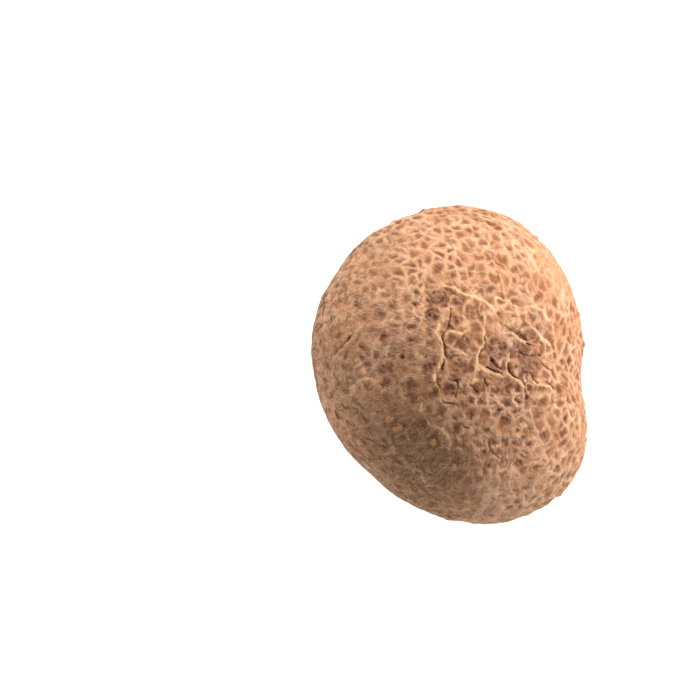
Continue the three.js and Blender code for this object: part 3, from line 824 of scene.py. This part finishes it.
def capSkinMaterial():
    # Shiitake cap skin: dry and leathery, fibrils pressed down in a net round darker sunken scales. It takes
    # no polish, so the eye gets its colour and the soft shadows of the relief and hardly any shine.
    material, tree = newMaterial("shiitakeCapSkin")
    position = addNode(tree, "TexCoord").outputs["Object"]
    marks = {}
    for name in ("netMarks", "tearMarks", "zones", "moreZones", "marginMarks"):
        read = addNode(tree, "Attribute", settings={"attribute_name": name})
        marks[name] = addNode(tree, "SeparateXYZ", {"Vector": read.outputs["Vector"]}).outputs
    grain = addNode(tree, "Attribute", settings={"attribute_name": "grain"}).outputs["Vector"]

    def noise(where, size, detail=3, rough=0.6):
        return addNode(tree, "TexNoise", {"Vector": where}, values={
            "Scale": size, "Detail": detail, "Roughness": rough}).outputs["Fac"]

    def spread(source, low, high):
        return addNode(tree, "MapRange", {"Value": source}, {"clamp": True}, {
            "From Min": low, "From Max": high}).outputs["Result"]

    def times(first, second):
        links = {0: first}
        values = {}
        if isinstance(second, (int, float)):
            values[1] = second
        else:
            links[1] = second
        return addNode(tree, "Math", links, {"operation": "MULTIPLY", "use_clamp": True}, values).outputs[0]

    def layer(below, colour, amount, blend="MIX"):
        node = tree.nodes.new("ShaderNodeMix")
        node.data_type = "RGBA"
        node.blend_type = blend
        tree.links.new(amount, node.inputs[0])
        tree.links.new(below, node.inputs[6])
        node.inputs[7].default_value = hexToLinear(colour)
        return node.outputs[2]

    mottle = spread(noise(position, perMetre(6)), 0.35, 0.65)
    fine = spread(noise(position, perMetre(0.7), 4, 0.75), 0.32, 0.68)
    fibres = spread(noise(grain, 1.6, 4, 0.7), 0.36, 0.64)
    # Single fibrils stand out as fine pale lines that run down from the crown
    longGrain = addNode(tree, "Mapping", {"Vector": grain}, values={"Scale": (0.85, 0.85, 0.7)}).outputs[0]
    strand = noise(longGrain, 1.0, 2, 0.55)
    threads = times(spread(strand, 0.46, 0.5), spread(strand, 0.54, 0.5))
    threads = times(threads, marks["marginMarks"]["Y"])
    grit = spread(noise(position, perMetre(1.1), 4, 0.7), 0.48, 0.58)
    # Scars are short dark nicks that lie along the margin, each under a small lifted flap
    crossGrain = addNode(tree, "Mapping", {"Vector": grain}, values={"Scale": (0.42, 0.42, 5)}).outputs[0]
    nicks = spread(noise(crossGrain, 1.0, 1.5, 0.5), 0.6, 0.66)
    nicks = times(nicks, marks["marginMarks"]["X"])
    flaps = spread(noise(crossGrain, 1.0, 1.5, 0.5), 0.5, 0.62)
    flaps = times(flaps, marks["marginMarks"]["X"])
    base = addNode(tree, "RGB")
    base.outputs[0].default_value = hexToLinear(skinColours["mid"])
    colour = layer(base.outputs[0], skinColours["light"], mottle)
    colour = layer(colour, skinColours["net"], times(fibres, 0.36))
    # Painted shade and the greyer skin of the left and low sides
    colour = layer(colour, skinColours["greyAndShade"], times(marks["moreZones"]["X"], 0.8))
    pits = times(marks["netMarks"]["Y"], 0.9)
    colour = layer(colour, skinColours["plate"], times(marks["zones"]["X"], 0.42))
    colour = layer(colour, skinColours["plate"], times(marks["moreZones"]["Y"], 0.4))
    colour = layer(colour, skinColours["pit"], pits)
    colour = layer(colour, skinColours["heartPit"], times(times(pits, marks["moreZones"]["Y"]), 0.6))
    colour = layer(colour, skinColours["heartPit"], times(times(marks["marginMarks"]["Z"], grit), 0.6))
    colour = layer(colour, skinColours["purple"], times(times(pits, marks["moreZones"]["Z"]), 0.15))
    colour = layer(colour, skinColours["crownPit"], times(times(pits, marks["zones"]["X"]), 0.6))
    colour = layer(colour, skinColours["crownPit"], times(times(grit, marks["zones"]["X"]), 0.6))
    colour = layer(colour, skinColours["pit"], times(times(grit, marks["moreZones"]["Y"]), 0.4))
    colour = layer(colour, skinColours["purple"], times(marks["zones"]["Z"], 0.75))
    colour = layer(colour, skinColours["net"], times(marks["netMarks"]["X"], 0.58))
    colour = layer(colour, skinColours["net"], times(threads, 0.45))
    colour = layer(colour, skinColours["torn"], times(marks["tearMarks"]["X"], 0.8))
    # Painted shadow in the cracks
    colour = layer(colour, skinColours["shadedCrack"], times(marks["netMarks"]["Z"], 0.85))
    colour = layer(colour, skinColours["wart"], times(marks["tearMarks"]["Y"], 0.7))
    colour = layer(colour, skinColours["speck"], times(marks["tearMarks"]["Z"], 0.85))
    colour = layer(colour, skinColours["light"], times(flaps, 0.45))
    colour = layer(colour, skinColours["speck"], times(nicks, 0.6))
    colour = layer(colour, skinColours["flesh"], marks["zones"]["Y"])
    darker = addNode(tree, "MapRange", {"Value": fine}, values={"To Min": 0.8, "To Max": 1.14}).outputs["Result"]
    shaded = addNode(tree, "VectorMath", {0: colour, 1: darker}, {"operation": "MULTIPLY"}).outputs[0]

    threadBump = addNode(tree, "Bump", {"Height": threads}, values={"Strength": 0.6, "Distance": 0.0003})
    fibreBump = addNode(tree, "Bump", {"Height": fibres, "Normal": threadBump.outputs[0]}, values={
        "Strength": 0.35, "Distance": 0.0003})
    nickBump = addNode(tree, "Bump", {"Height": nicks, "Normal": fibreBump.outputs[0]}, {"invert": True}, {
        "Strength": 0.8, "Distance": 0.0004})
    fineBump = addNode(tree, "Bump", {"Height": fine, "Normal": nickBump.outputs[0]}, values={
        "Strength": 0.6, "Distance": 0.0002})
    shader = addNode(tree, "BsdfPrincipled", {"Base Color": shaded, "Normal": fineBump.outputs[0]}, values={
        "Roughness": 0.82, "Specular IOR Level": 0.15, "IOR": 1.4,
        "Sheen Weight": 0.02, "Sheen Roughness": 0.5, "Sheen Tint": "FFF4EA"})
    addNode(tree, "OutputMaterial", {"Surface": shader.outputs[0]})
    return material


def gillMaterial():
    # Shiitake gills: thin soft plates of cream flesh, browner at their free edges where they bruise and dry
    material, tree = newMaterial("shiitakeGillFlesh")
    position = addNode(tree, "TexCoord").outputs["Object"]
    read = addNode(tree, "Attribute", settings={"attribute_name": "bladeMarks"})
    marks = addNode(tree, "SeparateXYZ", {"Vector": read.outputs["Vector"]}).outputs
    mottle = addNode(tree, "TexNoise", {"Vector": position}, values={
        "Scale": perMetre(2.5), "Detail": 4, "Roughness": 0.6}).outputs["Fac"]
    edge = addNode(tree, "MapRange", {"Value": marks["X"]}, {"clamp": True}, {
        "From Min": 0.7, "From Max": 1.0}).outputs["Result"]
    browned = addNode(tree, "Math", {0: edge, 1: mottle}, {"operation": "MULTIPLY"}).outputs[0]
    ramp = addNode(tree, "ValToRGB", {"Fac": mottle})
    ramp.color_ramp.elements[0].color = hexToLinear("E3D2AE")
    ramp.color_ramp.elements[1].color = hexToLinear("F6ECD2")
    mixed = tree.nodes.new("ShaderNodeMix")
    mixed.data_type = "RGBA"
    tree.links.new(browned, mixed.inputs[0])
    tree.links.new(ramp.outputs["Color"], mixed.inputs[6])
    mixed.inputs[7].default_value = hexToLinear("A87B4E")
    bumpNode = addNode(tree, "Bump", {"Height": mottle}, values={"Strength": 0.3, "Distance": 0.0002})
    shader = addNode(tree, "BsdfPrincipled", {"Base Color": mixed.outputs[2], "Normal": bumpNode.outputs[0]},
                     values={"Roughness": 0.65, "Specular IOR Level": 0.3, "Subsurface Weight": 0.1,
                             "Subsurface Scale": 0.001})
    addNode(tree, "OutputMaterial", {"Surface": shader.outputs[0]})
    return material


def stemMaterial():
    # Shiitake stem: tough pale flesh in lengthways fibres, fawn outside and whiter where the knife cut it
    material, tree = newMaterial("shiitakeStemFibre")
    grain = addNode(tree, "Attribute", settings={"attribute_name": "stemGrain"}).outputs["Vector"]
    read = addNode(tree, "Attribute", settings={"attribute_name": "stemMarks"})
    marks = addNode(tree, "SeparateXYZ", {"Vector": read.outputs["Vector"]}).outputs
    fibres = addNode(tree, "TexNoise", {"Vector": grain}, values={
        "Scale": 1.8, "Detail": 5, "Roughness": 0.65}).outputs["Fac"]
    ramp = addNode(tree, "ValToRGB", {"Fac": fibres})
    ramp.color_ramp.elements[0].position = 0.3
    ramp.color_ramp.elements[1].position = 0.7
    ramp.color_ramp.elements[0].color = hexToLinear("A98058")
    ramp.color_ramp.elements[1].color = hexToLinear("E6CFA6")
    mixed = tree.nodes.new("ShaderNodeMix")
    mixed.data_type = "RGBA"
    tree.links.new(marks["Z"], mixed.inputs[0])
    tree.links.new(ramp.outputs["Color"], mixed.inputs[6])
    mixed.inputs[7].default_value = hexToLinear("E9D6B0")
    bumpNode = addNode(tree, "Bump", {"Height": fibres}, values={"Strength": 0.6, "Distance": 0.0004})
    shader = addNode(tree, "BsdfPrincipled", {"Base Color": mixed.outputs[2], "Normal": bumpNode.outputs[0]},
                     values={"Roughness": 0.75, "Specular IOR Level": 0.3})
    addNode(tree, "OutputMaterial", {"Surface": shader.outputs[0]})
    return material


for piece, material, slot in (
    (cap, capSkinMaterial(), "cap_skin"),
    (gills, gillMaterial(), "gills"),
    (stem, stemMaterial(), "stem"),
):
    piece.data.materials.clear()
    piece.data.materials.append(material)
    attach(piece, "root")
    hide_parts("shiitake_mushroom")
print("stage: materials on")
